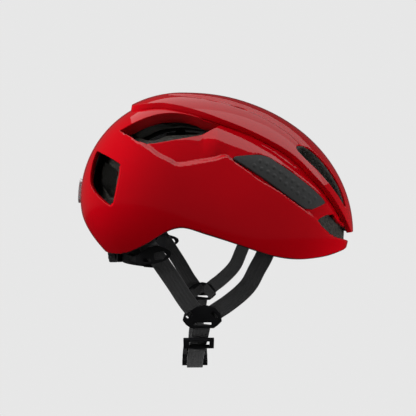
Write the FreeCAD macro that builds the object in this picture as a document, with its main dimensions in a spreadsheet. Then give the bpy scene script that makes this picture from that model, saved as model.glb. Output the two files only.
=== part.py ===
"""Cycling helmet with a turn-dial retention cradle and a chin strap harness.

Frame: +X is the front of the helmet, +Y the wearer's left, +Z up. The origin is
inside the head cavity, on the centre plane, 15 mm above the arch over the ears.
Millimetres throughout.
"""
import FreeCAD, Part
import math
import os
import Sketcher

Vector = FreeCAD.Vector
Placement = FreeCAD.Placement
Rotation = FreeCAD.Rotation
TO_X = Rotation(Vector(0, 1, 0), 90)
TO_LEFT = Rotation(Vector(1, 0, 0), -90)
TO_RIGHT = Rotation(Vector(1, 0, 0), 90)
UP = Vector(0, 0, 1)
WIDE = 160.0

doc = FreeCAD.newDocument("CyclingHelmet")
sheet = doc.addObject("Spreadsheet::Sheet", "Sizes")

SIZES = {
    # shell: one egg-shaped dome, measured from its widest section
    "widest_x": -30.0,
    "shell_front": 158.0,
    "shell_rear": 99.7,
    "shell_half_width": 102.0,
    "shell_top": 108.4,
    "shell_low": 85.0,
    "shell_heel": 136.0,
    "waist_rear": 8.5,
    "waist_front": -23.0,
    "plan_power": 2.3,
    "crown_rise": 4.0,
    "skin": 1.2,
    "trim_depth": 1.3,
    # head cavity inside the foam
    "cavity_front": 131.0,
    "cavity_rear": 72.0,
    "cavity_half_width": 78.5,
    "cavity_top": 81.0,
    "cavity_low": 130.0,
    "cavity_heel": 122.0,
    "pocket_depth": 14.0,
    "mouth_depth": 4.0,
    "pad_gap": 0.3,
    "pad_thick": 5.0,
    # retention cradle: a horseshoe about a vertical axis
    "band_x": -21.0,
    "band_radius": 74.0,
    "band_z": -41.0,
    "band_thick": 2.4,
    "rack_inner_z": 3.45,
    "rack_outer_z": 8.0,
    "tooth_pitch_radius": 4.0,
    "tooth_count": 10.0,
    "yoke_half_width": 8.6,
    "yoke_wall": 1.5,
    "yoke_reach": 62.0,
    "housing_reach": 19.0,
    "pivot_x": -36.0,
    "pivot_z": 8.0,
    "pivot_pin_radius": 4.0,
    "pivot_slack": 0.08,
    # dial
    "dial_radius": 13.0,
    "dial_length": 7.0,
    "dial_shaft_radius": 3.0,
    "dial_grips": 14.0,
    # chin harness
    "web_width": 15.0,
    "web_thick": 1.6,
    "buckle_width": 24.0,
    "buckle_thick": 10.0,
    "buckle_x": -21.0,
    "buckle_z": -146.0,
    "divider_thick": 3.0,
    "reflector_rise": 3.0,
}
for row, (alias, value) in enumerate(SIZES.items(), start=1):
    sheet.set(f"A{row}", alias)
    sheet.set(f"B{row}", str(value))
    sheet.setAlias(f"B{row}", alias)
doc.recompute()


def size(alias):
    """The value of one cell of the sheet."""
    return float(getattr(sheet, alias))


parts = []


def keep(item, label):
    """Label a finished sub-part and list it for export."""
    item.Label = label
    parts.append(item)
    return item


def feature(label, shape):
    """A sub-part whose shape is computed from the sheet's sizes."""
    item = doc.addObject("Part::Feature", label)
    item.Shape = shape
    item.Placement = shape.Placement
    return keep(item, label)


# ---------------------------------------------------------------- dome shapes

POLE = Vector(-25.0, 0.0, -32.0)
TURNS = [math.radians(-30.0 + 245.0 * i / 70) for i in range(71)]
TILTS = [math.radians(-84.0 + 168.0 * i / 32) for i in range(33)]


def smooth(low, high, x):
    part = min(1.0, max(0.0, (x - low) / (high - low)))
    return part * part * (3.0 - 2.0 * part)


class Dome:
    """An egg-shaped dome with a slanted heel under its rear end."""

    def __init__(self, name):
        self.front = size(name + "_front")
        self.rear = size(name + "_rear")
        self.half_width = size(name + "_half_width")
        self.top = size(name + "_top")
        self.low = size(name + "_low")
        self.heel = size(name + "_heel")
        self.grids = {}

    def height(self, x, y, z):
        """Below zero inside the dome, above zero outside it."""
        waist = size("waist_rear")
        waist += (size("waist_front") - waist) * smooth(-80.0, 40.0, x)
        power = size("plan_power")
        reach = self.front if x > size("widest_x") else self.rear
        rise = self.top - waist if z > waist else self.low
        plan = (abs(x - size("widest_x")) / reach) ** power
        plan += (abs(y) / self.half_width) ** power
        dome = 100.0 * (math.sqrt(plan ** (2.0 / power) + ((z - waist) / rise) ** 2) - 1.0)
        heel = (x + self.heel) * -0.735 + (z + 6.0) * -0.678
        mix = min(1.0, max(0.0, 0.5 + (dome - heel) / 20.0))
        return heel * (1.0 - mix) + dome * mix + 10.0 * mix * (1.0 - mix)

    def surface_point(self, turn, tilt):
        """Where the ray that leaves the pole axis at these angles meets the dome."""
        ray = Vector(math.cos(turn) * math.cos(tilt), math.sin(tilt),
                     math.sin(turn) * math.cos(tilt))
        near, far = 10.0, 260.0
        for _ in range(24):
            middle = (near + far) / 2.0
            point = POLE + ray * middle
            if self.height(point.x, point.y, point.z) < 0.0:
                near = middle
            else:
                far = middle
        return POLE + ray * near

    def outward(self, p):
        """Unit vector square to the dome at a point."""
        step = 0.05
        here = self.height(p.x, p.y, p.z)
        slope = Vector(self.height(p.x + step, p.y, p.z) - here,
                       self.height(p.x, p.y + step, p.z) - here,
                       self.height(p.x, p.y, p.z + step) - here)
        return slope.normalize()

    def surface(self, offset):
        """The dome moved outward by an offset, as one smooth surface."""
        if not self.grids:
            self.grids = {(t, p): self.surface_point(t, p) for t in TURNS for p in TILTS}
        rows = []
        for turn in TURNS:
            points = [self.grids[(turn, tilt)] for tilt in TILTS]
            rows.append([p + self.outward(p) * offset for p in points])
        net = Part.BSplineSurface()
        net.interpolate(rows)
        return net


def borders(net):
    """The four edges round a surface."""
    u0, u1, v0, v1 = net.bounds()
    return [net.uIso(u0), net.uIso(u1), net.vIso(v0), net.vIso(v1)]


def layer(outer, inner):
    """The solid between two surfaces that share their turns and tilts."""
    faces = [outer.toShape(), inner.toShape()]
    for far, near in zip(borders(outer), borders(inner)):
        faces.append(Part.makeRuledSurface(far.toShape(), near.toShape()))
    shell = Part.makeShell(faces)
    shell.sewShape()
    solid = Part.makeSolid(shell)
    if solid.Volume < 0:
        solid.reverse()
    return solid


def lift(point, axis, level):
    """A drawing point placed in space; the drawing looks along the axis."""
    a, b = point
    if axis == "x":
        return Vector(level, a, b)
    if axis == "y":
        return Vector(a, level, b)
    return Vector(a, b, level)


def prism(axis, low, high, corners=(), curve=()):
    """A drawing pushed through space: one smooth curve, then straight corners."""
    edges = []
    corners = [lift(p, axis, low) for p in corners]
    curve = [lift(p, axis, low) for p in curve]
    if curve:
        line = Part.BSplineCurve()
        line.interpolate(curve)
        edges.append(line.toShape())
        corners = [curve[-1]] + corners + [curve[0]]
    else:
        corners = corners + [corners[0]]
    for start, end in zip(corners, corners[1:]):
        edges.append(Part.LineSegment(start, end).toShape())
    face = Part.Face(Part.Wire(edges))
    push = lift((0.0, 0.0), axis, high - low)
    return face.extrude(push)


def shrunk(corners, margin):
    """The same outline with each corner moved towards its middle."""
    middle_a = sum(a for a, b in corners) / len(corners)
    middle_b = sum(b for a, b in corners) / len(corners)
    smaller = []
    for a, b in corners:
        reach = math.hypot(a - middle_a, b - middle_b)
        share = max(0.2, 1.0 - margin / reach)
        smaller.append((middle_a + (a - middle_a) * share, middle_b + (b - middle_b) * share))
    return smaller


def ribbon(middle_line, half_width):
    """Outline of a band of even width along a line of points."""
    left, right = [], []
    count = len(middle_line)
    for index, (a, b) in enumerate(middle_line):
        before = middle_line[max(0, index - 1)]
        after = middle_line[min(count - 1, index + 1)]
        along = math.hypot(after[0] - before[0], after[1] - before[1])
        side_a = -(after[1] - before[1]) / along * half_width
        side_b = (after[0] - before[0]) / along * half_width
        left.append((a + side_a, b + side_b))
        right.append((a - side_a, b - side_b))
    return left + right[::-1]


def box(x, y, z):
    """A box from its lowest and highest coordinates on each axis."""
    return Part.makeBox(x[1] - x[0], y[1] - y[0], z[1] - z[0], Vector(x[0], y[0], z[0]))


def rod(axis, radius, low, high, centre):
    """A round rod along an axis, centred on a drawing point."""
    push = lift((0.0, 0.0), axis, 1.0)
    return Part.makeCylinder(radius, high - low, lift(centre, axis, low), push)


def mirrored(shape):
    """The same piece on the wearer's other side."""
    return shape.mirror(Vector(0, 0, 0), Vector(0, 1, 0))


def joined(shapes):
    return shapes[0].multiFuse(shapes[1:]).removeSplitter()


def carved(shape, tools):
    """A shape with each tool cut from it in turn."""
    for tool in tools:
        shape = shape.cut(tool)
    return shape


# ------------------------------------------------------- outlines on the helmet

# Lower edge of the foam and shells, drawn from the side: x, z.
RIM = [(140, -37), (124, -37.3), (109, -38.6), (94, -40.9), (81, -41.9), (66, -42.1),
       (43, -38.5), (23, -32), (6, -26), (-18, -18.3), (-31, -15.2), (-43, -18.4),
       (-61, -29.4), (-78, -37.6), (-90, -39.6), (-104, -39.4), (-120, -38)]
# Lower edge of the raised crown, drawn from the side.
CROWN_EDGE = [(-79, 88.5), (-73, 88.3), (-48, 87.9), (-25, 82.4), (-2, 74), (31, 60.2),
              (60, 43.8), (80, 24.9), (91, 14), (102, 0.5), (114.8, -17.7)]
CROWN_CLOSE = [(118, -21.5), (150, -21.5), (150, 130), (-79, 130)]
# Tail of the raised crown, drawn from above: x, y.
CROWN_TAIL = [(-62, -100), (-73, -56), (-77.5, -30), (-79, 0), (-77.5, 30), (-73, 56), (-62, 100)]
SIDE_VENT = [(-87, 66), (-72, 73.2), (-57, 79.7), (-43, 82.2), (-28, 81), (-13.5, 76.2),
             (4, 71.5), (-4, 66.8), (-11, 62.8), (-32, 57.8), (-49, 54.2), (-57, 52.8),
             (-63, 52.8), (-69, 54.6), (-77, 60)]
REAR_VENT = [(-107, 50.5), (-81, 37.3), (-79.5, 34), (-79.5, 28), (-84.5, 4), (-87, 0),
             (-91, 1), (-101, 8), (-109.5, 17), (-111.5, 25), (-110.5, 39)]
FRONT_VENT = [(81, -9.6), (92, -4.5), (97.5, -4.5), (108, -12.5), (118, -19), (145, -21.5),
              (145, -34.5), (124, -32), (112.7, -28.8), (100.8, -26.3), (90.4, -19)]
GRIP = [(10.4, 42), (25, 43.8), (36.8, 44.3), (50, 36.7), (65, 26.4), (80.6, 15),
        (91, 5.4), (90, 3.4), (73.2, -2.8), (58.4, 7), (39, 21), (20.5, 33.4), (10.8, 39.5)]
# Long slot beside the brow, drawn from the front: y, z.
BROW_SLOT = [(-59, 54), (-65.5, 50), (-67, 41), (-65, 30), (-61, 16), (-52.5, -1),
             (-53, 14), (-55, 32), (-55, 45)]
# Opening in the rear edge for the dial box, drawn from behind: y, z.
DIAL_NOTCH = [(-29, -60), (-29, -32), (-23, -23), (23, -23), (29, -32), (29, -60)]
# Crown slits, drawn from above: x, y.
CROWN_SLITS = [[(-16, -44), (2, -47), (2, -52), (-16, -49)],
               [(8, -47.5), (26, -48), (26, -53), (8, -52.5)]]

shell_dome = Dome("shell")
cavity_dome = Dome("cavity")
skin = size("skin")
rise = size("crown_rise")
crown_outer = shell_dome.surface(rise)
crown_inner = shell_dome.surface(rise - skin)
shell_outer = shell_dome.surface(0.0)
shell_inner = shell_dome.surface(-skin)
trim_outer = shell_dome.surface(0.5)
trim_inner = shell_dome.surface(-5.0)
pocket_floor = shell_dome.surface(-size("pocket_depth"))
mouth_floor = shell_dome.surface(-size("mouth_depth"))
core_inner = shell_dome.surface(-70.0)
cavity_wall = cavity_dome.surface(0.0)

rim_cut = prism("y", -WIDE, WIDE, corners=[(-150, -38), (-150, -120), (150, -120), (150, -37)],
                curve=RIM)
trim_cut = rim_cut.translated(Vector(0, 0, -size("trim_depth")))
crown_side_view = prism("y", -WIDE, WIDE, corners=CROWN_CLOSE, curve=CROWN_EDGE)
crown_top_view = prism("z", -60.0, 140.0, corners=[(150, 100), (150, -100)], curve=CROWN_TAIL)
crown_plug = crown_side_view.common(crown_top_view)
crown_foam_plug = crown_plug.translated(Vector(skin, 0, 1.5 * skin))
dial_notch = prism("x", -150.0, -70.0, corners=DIAL_NOTCH)


def both_sides(shape):
    return [shape, mirrored(shape)]


mouth = prism("y", -WIDE, WIDE, corners=FRONT_VENT)
vent_prisms = [prism("y", -WIDE, WIDE, corners=SIDE_VENT),
               prism("y", -WIDE, WIDE, corners=REAR_VENT)]
vent_prisms += both_sides(prism("x", 55.0, 150.0, corners=BROW_SLOT))
for slit in CROWN_SLITS:
    vent_prisms += both_sides(prism("z", 60.0, 130.0, corners=slit))
air_holes = [prism("y", -WIDE, WIDE, corners=shrunk(SIDE_VENT, 8.0)),
             prism("y", -WIDE, WIDE, corners=shrunk(REAR_VENT, 8.0))]
air_holes += both_sides(prism("x", 55.0, 150.0, corners=shrunk(BROW_SLOT, 7.0)))
grip_prism = prism("y", -WIDE, 0.0, corners=GRIP)

# ---------------------------------------------------------------- helmet shells


def make_shells():
    crown = layer(crown_outer, shell_inner).common(crown_plug)
    crown = crown.cut(layer(crown_inner, trim_inner).common(crown_foam_plug))
    lower = carved(layer(shell_outer, shell_inner), [crown_plug, rim_cut, dial_notch])
    feature("crown_shell", carved(crown, vent_prisms + [mouth]))
    feature("lower_shell", carved(lower, vent_prisms + [mouth] + both_sides(grip_prism)))
    band = layer(trim_outer, trim_inner).common(rim_cut)
    feature("rim_trim", carved(band, [trim_cut, dial_notch]))


def make_grips():
    pad = layer(shell_dome.surface(0.6), shell_inner).common(grip_prism)
    feature("grip_pad_right", pad)
    feature("grip_pad_left", mirrored(pad))


def make_reflector():
    outline = prism("x", -160.0, -80.0,
                    corners=[(-20, 5), (-22, 8), (-22, 25), (-20, 28),
                             (20, 28), (22, 25), (22, 8), (20, 5)])
    plate = layer(shell_dome.surface(size("reflector_rise")), shell_outer)
    feature("rear_reflector", plate.common(outline))


make_shells()
make_grips()
make_reflector()

# ------------------------------------------------------------ foam and comfort pads

CROWN_PADS = {"crown_pad_centre": [(-72, -11), (58, -11), (58, 11), (-72, 11)],
              "crown_pad_right": [(-48, -47), (36, -45), (36, -34), (-48, -36)]}
DOT_PLACES = [(44, 0), (-8, 0), (-58, 0), (22, -40), (-34, -41), (22, 40), (-34, 41)]
DOT_RADIUS = 4.5
BROW_DOTS = [-40.0, 0.0, 40.0]


def cavity_layer(outer, inner):
    return layer(cavity_dome.surface(outer), cavity_dome.surface(inner))


def make_hook_dots():
    tiles = cavity_layer(0.9, -0.1)
    posts = [rod("z", DOT_RADIUS, 30.0, 100.0, place) for place in DOT_PLACES]
    posts += [rod("x", DOT_RADIUS, 70.0, 120.0, (y, -24.0)) for y in BROW_DOTS]
    dots = [tiles.common(post) for post in posts]
    return Part.makeCompound([solid for dot in dots for solid in dot.Solids])


def make_pads():
    gap = size("pad_gap")
    pad = cavity_layer(-gap, -gap - size("pad_thick"))
    brow = prism("y", -WIDE, WIDE, corners=[(40, -31), (120, -33), (120, -13), (40, -9)])
    feature("brow_pad", pad.common(brow))
    for name, outline in CROWN_PADS.items():
        piece = pad.common(prism("z", 30.0, 100.0, corners=outline))
        feature(name, piece)
        if name.endswith("right"):
            feature(name.replace("right", "left"), mirrored(piece))


# Where the straps leave the foam: x, y, z of the guide's middle.
GUIDES = [(39.5, -77.0, -33.5), (-61.0, -75.5, -26.0)]
# The rear guide stops here, above the strap's bend towards the head.
REAR_GUIDE_FOOT = -30.2


def guide_block(place):
    x, y, z = place
    return box((x - 10.5, x + 10.5), (y - 3.5, y + 3.5), (z - 14, z + 5))


def make_guides():
    slot_half = (size("web_width") + 2.6) / 2.0
    pieces = []
    for place in GUIDES:
        x, y, z = place
        slot = box((x - slot_half, x + slot_half), (y - 1.9, y + 1.9), (z - 20, z + 10))
        block = guide_block(place).cut(slot)
        if x < 0.0:
            block = block.cut(box((x - 15, x + 15), (-WIDE, 0.0), (-WIDE, REAR_GUIDE_FOOT)))
        pieces += both_sides(block.cut(rim_cut))
    return Part.makeCompound([solid for piece in pieces for solid in piece.Solids])


def make_foam(dots):
    foam = carved(layer(shell_inner, cavity_wall), [rim_cut, dial_notch])
    crest = layer(crown_inner, trim_inner).common(crown_foam_plug)
    foam = foam.fuse(crest)
    core = layer(pocket_floor, core_inner)
    pockets = [vent.cut(core) for vent in vent_prisms]
    pockets.append(mouth.cut(layer(mouth_floor, core_inner)))
    sockets = both_sides(socket_seat())
    seats = [guide for place in GUIDES for guide in both_sides(guide_block(place))]
    foam = carved(foam, pockets + air_holes + sockets + seats + dots.Solids)
    feature("eps_liner", foam)


# ----------------------------------------------------------------- tilt pivots

SOCKET_NEAR = 78.2
SOCKET_FAR = 85.0
SOCKET_RADIUS = 8.0


def socket_seat():
    place = (size("pivot_x"), size("pivot_z"))
    return rod("y", SOCKET_RADIUS, -SOCKET_FAR, -70.0, place)


def make_socket(label, side):
    """A flanged cup in the foam that takes the cradle arm's pin."""
    cup = doc.addObject("Part::Cylinder", label + "_cup")
    cup.Radius = SOCKET_RADIUS
    cup.Height = SOCKET_FAR - SOCKET_NEAR
    bore = doc.addObject("Part::Cylinder", label + "_bore")
    bore.setExpression("Radius", "Sizes.pivot_pin_radius + Sizes.pivot_slack")
    bore.Height = SOCKET_FAR - SOCKET_NEAR - 1.0
    for item in (cup, bore):
        low = SOCKET_NEAR if side > 0 else -SOCKET_NEAR
        item.Placement = Placement(Vector(0, low, 0), TO_LEFT if side > 0 else TO_RIGHT)
        item.setExpression("Placement.Base.x", "Sizes.pivot_x")
        item.setExpression("Placement.Base.z", "Sizes.pivot_z")
    socket = doc.addObject("Part::Cut", label + "_body")
    socket.Base = cup
    socket.Tool = bore
    keep(socket, label)


make_pads()
hook_dots = make_hook_dots()
feature("pad_hook_dots", hook_dots)
make_foam(hook_dots)
feature("strap_guides", make_guides())
make_socket("pivot_socket_right", -1)
make_socket("pivot_socket_left", 1)

# ------------------------------------------------------------- retention cradle


def arc_strip(inner, outer, low, high, start, end):
    """A curved strip about the cradle's axis; angles are degrees from the rear
    centre, positive towards the wearer's right."""
    middle = size("band_x")
    corners = [Vector(middle - reach, 0, level)
               for reach, level in ((inner, low), (outer, low), (outer, high), (inner, high))]
    section = Part.Face(Part.makePolygon(corners + corners[:1]))
    strip = section.revolve(Vector(middle, 0, 0), UP, end - start)
    strip.rotate(Vector(middle, 0, 0), UP, start)
    return strip


rack_in = size("band_radius") - size("band_thick") / 2.0
rack_out = size("band_radius") + size("band_thick") / 2.0
RUN_GAP = 0.3
yoke_out = rack_in - RUN_GAP
yoke_in = yoke_out - size("yoke_wall")
cover_in = rack_out + RUN_GAP
cover_out = cover_in + size("yoke_wall")
band_z = size("band_z")
yoke_half = size("yoke_half_width")
wall = size("yoke_wall")


def make_yoke():
    """Inner band of the cradle, with the rails that the racks run between."""
    reach = size("yoke_reach")
    pieces = [arc_strip(yoke_in, yoke_out, band_z - yoke_half - wall, band_z + yoke_half + wall,
                        -reach, reach)]
    for side in (-1, 1):
        start, end = sorted((side * 54.0, side * reach))
        for rail in (-1, 1):
            low, high = sorted((band_z + rail * yoke_half, band_z + rail * (yoke_half + wall)))
            pieces.append(arc_strip(yoke_in, cover_in, low, high, start, end))
    yoke = joined(pieces)
    feature("cradle_yoke", yoke.cut(rod("x", 2.6, -110.0, -80.0, (0.0, band_z))))


def make_housing():
    """Rear cover of the dial box, with its top and bottom rails."""
    reach = size("housing_reach")
    pieces = [arc_strip(cover_in, cover_out, band_z - yoke_half - wall,
                        band_z + yoke_half + wall, -reach, reach)]
    for rail in (-1, 1):
        low, high = sorted((band_z + rail * yoke_half, band_z + rail * (yoke_half + wall)))
        pieces.append(arc_strip(yoke_out, cover_in, low, high, -reach, reach))
    cover = joined(pieces)
    shaft_hole = rod("x", size("dial_shaft_radius") + 0.08, -110.0, -90.0, (0.0, band_z))
    feature("dial_housing_cover", cover.cut(shaft_hole))


# Side arm, drawn from the side: x, z.
ARM = [(-80, -47), (-72, -46.5), (-67, -48.5), (-55, -48), (-54, -28.5), (-33, 0.5),
       (-31, 3.5), (-29.5, 8), (-31.5, 13), (-36, 14.5), (-40.5, 12.5), (-43, 7), (-64, -30),
       (-80, -34)]
ARM_WINDOW = [(-66, -46), (-57.5, -45.8), (-57.5, -42.5), (-64.5, -42)]
# Wing that runs outside the rear ear strap, with its two holes, drawn from the side.
WING = [(-82, -41.2), (-73, -40.8), (-67, -38), (-60, -33), (-52, -31), (-44.7, -33.3),
        (-41, -35.5), (-40, -38.5), (-41.5, -41), (-45.7, -44), (-53.6, -46.5), (-65.7, -47.2),
        (-70, -45.5), (-82, -45.5)]
WING_HOLES = [[(-64.5, -42.3), (-57.5, -42), (-58.5, -44.8), (-63, -45)],
              [(-54.5, -37.5), (-46.5, -35.8), (-44.5, -39), (-47, -42.3), (-54, -43)]]
# The wing's middle line, drawn from above: x, y.
WING_PLAN = [(-82, -46.2), (-77.5, -55), (-73, -67.5), (-69.5, -75.2), (-65.5, -77), (-36, -77.4)]
ARM_THICK = 1.6


def make_arm():
    strip = arc_strip(cover_in, cover_in + ARM_THICK, -60.0, 20.0, 20.0, 90.0)
    strip = strip.common(prism("y", -WIDE, 0.0, corners=ARM))
    strip = strip.cut(prism("y", -WIDE, 0.0, corners=ARM_WINDOW))
    wing = prism("z", -60.0, 0.0, corners=ribbon(WING_PLAN, ARM_THICK / 2.0))
    wing = wing.common(prism("y", -WIDE, 0.0, corners=WING))
    wing = carved(wing, [prism("y", -WIDE, 0.0, corners=hole) for hole in WING_HOLES])
    inside = arc_strip(0.5, cover_in, -60.0, 20.0, 1.0, 179.0)
    place = (size("pivot_x"), size("pivot_z"))
    pin = rod("y", size("pivot_pin_radius"), -SOCKET_FAR + 1.4, -70.0, place)
    arm = joined([strip, wing.cut(inside), pin.cut(inside)])
    feature("cradle_arm_right", arm)
    feature("cradle_arm_left", mirrored(arm))


def make_nape_pads():
    for label, start, end in (("nape_pad_right", 14.0, 44.0), ("nape_pad_left", -44.0, -14.0)):
        feature(label, arc_strip(yoke_in - 4.3, yoke_in - 0.3, band_z - 8.0, band_z + 8.0,
                                 start, end))


BACKLASH = 0.14


def rack_gap(angle, side):
    """One gap between rack teeth; side is +1 for teeth that point down."""
    tip = size("rack_inner_z") - 0.1
    pitch = size("tooth_pitch_radius")
    root = pitch + 1.0
    slope = math.tan(math.radians(20.0))
    half = 0.25 * 2.0 * math.pi * pitch / size("tooth_count") + BACKLASH
    outline = [(-half - (pitch - tip) * slope, tip), (half + (pitch - tip) * slope, tip),
               (half - (root - pitch) * slope, root), (-half + (root - pitch) * slope, root)]
    outline = [(y, band_z + side * z) for y, z in outline]
    gap = prism("x", -110.0, -80.0, corners=outline)
    gap.rotate(Vector(size("band_x"), 0, 0), UP, angle)
    return gap


def make_rack(label, side, start, end):
    low, high = sorted((band_z + side * size("rack_inner_z"), band_z + side * size("rack_outer_z")))
    strip = arc_strip(rack_in, rack_out, low, high, start, end)
    pitch_angle = math.degrees(2.0 * math.pi * size("tooth_pitch_radius")
                               / size("tooth_count") / size("band_radius"))
    gaps = [rack_gap(step * pitch_angle, side) for step in range(-6, 7)]
    feature(label, strip.cut(gaps))


make_yoke()
make_housing()
make_arm()
make_nape_pads()
make_rack("rack_right", 1, -10.5, 52.0)
make_rack("rack_left", -1, -52.0, 10.5)

# ------------------------------------------------------------------------ dial

cover_face = size("band_x") - cover_out
DIAL_GAP = 0.4
dial_front = cover_face - DIAL_GAP
dial_rear = dial_front - size("dial_length")


def origin_item(body, role):
    """One of a body's own planes or axes, found by its role."""
    return [item for item in body.Origin.OriginFeatures if item.Role == role][0]


def make_dial():
    """Knob with scalloped grip, hollow at the front for the click spring."""
    body = doc.addObject("PartDesign::Body", "fit_dial_body")
    sketch = body.newObject("Sketcher::SketchObject", "dial_outline")
    sketch.AttachmentSupport = [(origin_item(body, "YZ_Plane"), "")]
    sketch.MapMode = "FlatFace"
    sketch.addGeometry(Part.Circle(Vector(0, 0, 0), UP, size("dial_radius")), False)
    sketch.addConstraint(Sketcher.Constraint("Radius", 0, size("dial_radius")))
    sketch.setExpression("Constraints[0]", "Sizes.dial_radius")
    pad = body.newObject("PartDesign::Pad", "dial_block")
    pad.Profile = sketch
    pad.setExpression("Length", "Sizes.dial_length")
    doc.recompute()
    pocket = ring_pocket(body, "spring_well", 9.0, 3.0)
    scallop = body.newObject("Sketcher::SketchObject", "scallop_outline")
    scallop.AttachmentSupport = [(origin_item(body, "YZ_Plane"), "")]
    scallop.MapMode = "FlatFace"
    scallop.addGeometry(Part.Circle(Vector(size("dial_radius") + 0.9, 0, 0), UP, 1.9), False)
    cut = body.newObject("PartDesign::Pocket", "scallop")
    cut.Profile = scallop
    cut.Type = 1
    cut.Midplane = True
    pattern = body.newObject("PartDesign::PolarPattern", "scallops")
    pattern.Originals = [cut]
    pattern.Axis = (origin_item(body, "X_Axis"), [""])
    pattern.Angle = 360.0
    pattern.setExpression("Occurrences", "Sizes.dial_grips")
    body.Tip = pattern
    doc.recompute()
    if not pattern.Shape.Volume < pocket.Shape.Volume - 5.0:
        raise RuntimeError("the dial's grip scallops cut nothing")
    body.Placement = Placement(Vector(dial_rear, 0, band_z), Rotation())
    keep(body, "fit_dial")


def ring_pocket(body, name, radius, depth):
    """A round well in the knob's front, round a central boss that holds the shaft."""
    sketch = body.newObject("Sketcher::SketchObject", name + "_outline")
    sketch.AttachmentSupport = [(origin_item(body, "YZ_Plane"), "")]
    sketch.MapMode = "FlatFace"
    sketch.AttachmentOffset = Placement(Vector(0, 0, size("dial_length")), Rotation())
    sketch.addGeometry(Part.Circle(Vector(0, 0, 0), UP, radius), False)
    sketch.addGeometry(Part.Circle(Vector(0, 0, 0), UP, size("dial_shaft_radius")), False)
    before = body.Tip.Shape.Volume
    pocket = body.newObject("PartDesign::Pocket", name)
    pocket.Profile = sketch
    pocket.Length = depth
    doc.recompute()
    if not pocket.Shape.Volume < before - 5.0:
        raise RuntimeError("the dial's spring well cuts nothing")
    return pocket


def pinion_tooth(angle):
    pitch = size("tooth_pitch_radius")
    outline = [(-0.9, 2.6), (0.9, 2.6), (0.8, 3.0), (0.44, pitch), (0.2, pitch + 0.7),
               (-0.2, pitch + 0.7), (-0.44, pitch), (-0.8, 3.0)]
    tooth = prism("x", size("band_x") - rack_out, size("band_x") - rack_in, corners=outline)
    tooth.rotate(Vector(0, 0, 0), Vector(1, 0, 0), angle)
    return tooth


def make_pinion():
    """Small gear between the racks, with the shaft that runs back into the knob."""
    low = size("band_x") - rack_out
    high = size("band_x") - rack_in
    count = int(size("tooth_count"))
    pieces = [rod("x", 3.0, low, high, (0.0, 0.0))]
    pieces += [pinion_tooth(360.0 * step / count) for step in range(count)]
    pieces.append(rod("x", size("dial_shaft_radius"), dial_front, low, (0.0, 0.0)))
    gear = joined(pieces).cut(rod("x", 1.3, dial_front - 1.0, high + 1.0, (0.0, 0.0)))
    gear.translate(Vector(0, 0, band_z))
    feature("dial_pinion", gear)


def make_screw():
    """Screw from the front through the pinion into the knob."""
    head = doc.addObject("Part::Cylinder", "screw_head")
    head.Radius = 2.3
    head.Height = 1.2
    shank = doc.addObject("Part::Cylinder", "screw_shank")
    shank.Radius = 1.3
    shank.Height = size("band_x") - rack_in - dial_front
    head.Placement = Placement(Vector(size("band_x") - rack_in, 0, band_z), TO_X)
    shank.Placement = Placement(Vector(dial_front, 0, band_z), TO_X)
    for item in (head, shank):
        item.setExpression("Placement.Base.z", "Sizes.band_z")
    screw = doc.addObject("Part::Fuse", "screw_body")
    screw.Base = head
    screw.Tool = shank
    keep(screw, "dial_screw")


def make_click_spring():
    """Ring on the cover's rear face with two spring fingers."""
    low = cover_face - 1.6
    high = cover_face
    ring = rod("x", 5.6, low, high, (0.0, 0.0)).cut(rod("x", 3.3, low, high, (0.0, 0.0)))
    fingers = [box((low, low + 1.2), (-0.9, 0.9), sorted((side * 5.0, side * 8.4)))
               for side in (-1, 1)]
    spring = joined([ring] + fingers)
    spring.translate(Vector(0, 0, band_z))
    feature("click_spring", spring)


make_dial()
make_pinion()
make_screw()
make_click_spring()

# ---------------------------------------------------------------- chin harness

web_half = size("web_width") / 2.0
web_thick = size("web_thick")


def strap(side_line, front_line):
    """Webbing that follows one line seen from the side and one seen from the front."""
    seen_from_side = prism("y", -WIDE, 0.0, corners=ribbon(side_line, web_half))
    seen_from_front = prism("x", -WIDE, WIDE, corners=ribbon(front_line, web_thick / 2.0))
    return seen_from_side.common(seen_from_front)


# Middle lines of the webbing: x, z from the side and y, z from the front.
FRONT_SIDE = [(40, -33), (31.5, -52), (25.9, -64), (18.5, -73), (7.5, -82.5), (0.5, -87.5)]
FRONT_FACE = [(-77, -20), (-77, -38), (-61.5, -90)]
REAR_SIDE = [(-61.5, -25), (-60.5, -31), (-57, -36), (-51.5, -43.5), (-38, -64), (-29.5, -78),
             (-23.5, -86.5)]
REAR_FACE = [(-75.3, -15), (-75.3, -29.5), (-73.8, -32.5), (-72.5, -36), (-71.6, -42),
             (-70.7, -50), (-61.5, -90)]
CHIN_SIDE = [(-15, -105.5), (-17.5, -120), (-20.5, -138), (-21, -146), (-21, -156)]
CHIN_FACE = [(-60.5, -102), (-52, -118), (-40, -133), (-32, -140.5), (-26.3, -144)]


def make_v_straps():
    for name, side_line, front_line in (("front_strap", FRONT_SIDE, FRONT_FACE),
                                        ("rear_strap", REAR_SIDE, REAR_FACE)):
        band = strap(side_line, front_line)
        feature(name + "_right", band)
        feature(name + "_left", mirrored(band))


def make_chin_straps():
    band = strap(CHIN_SIDE, CHIN_FACE)
    feature("chin_strap_right", band)
    feature("chin_strap_left", mirrored(band))


DIVIDER = [(-22.5, -86), (-13, -84), (-3.5, -86), (2, -93), (2.5, -98), (-1, -101.5),
           (-4.5, -104), (-24, -104), (-28.5, -101), (-31.5, -97), (-30, -91.5)]
DIVIDER_SLOTS = [[(-29, -94), (-24, -89.5), (-22.5, -91.5), (-27, -96)],
                 [(-0.5, -94), (-5.5, -89.5), (-7, -91.5), (-2.5, -96)],
                 [(-22, -99), (-6.5, -99), (-6.5, -101.5), (-22, -101.5)]]


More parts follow.
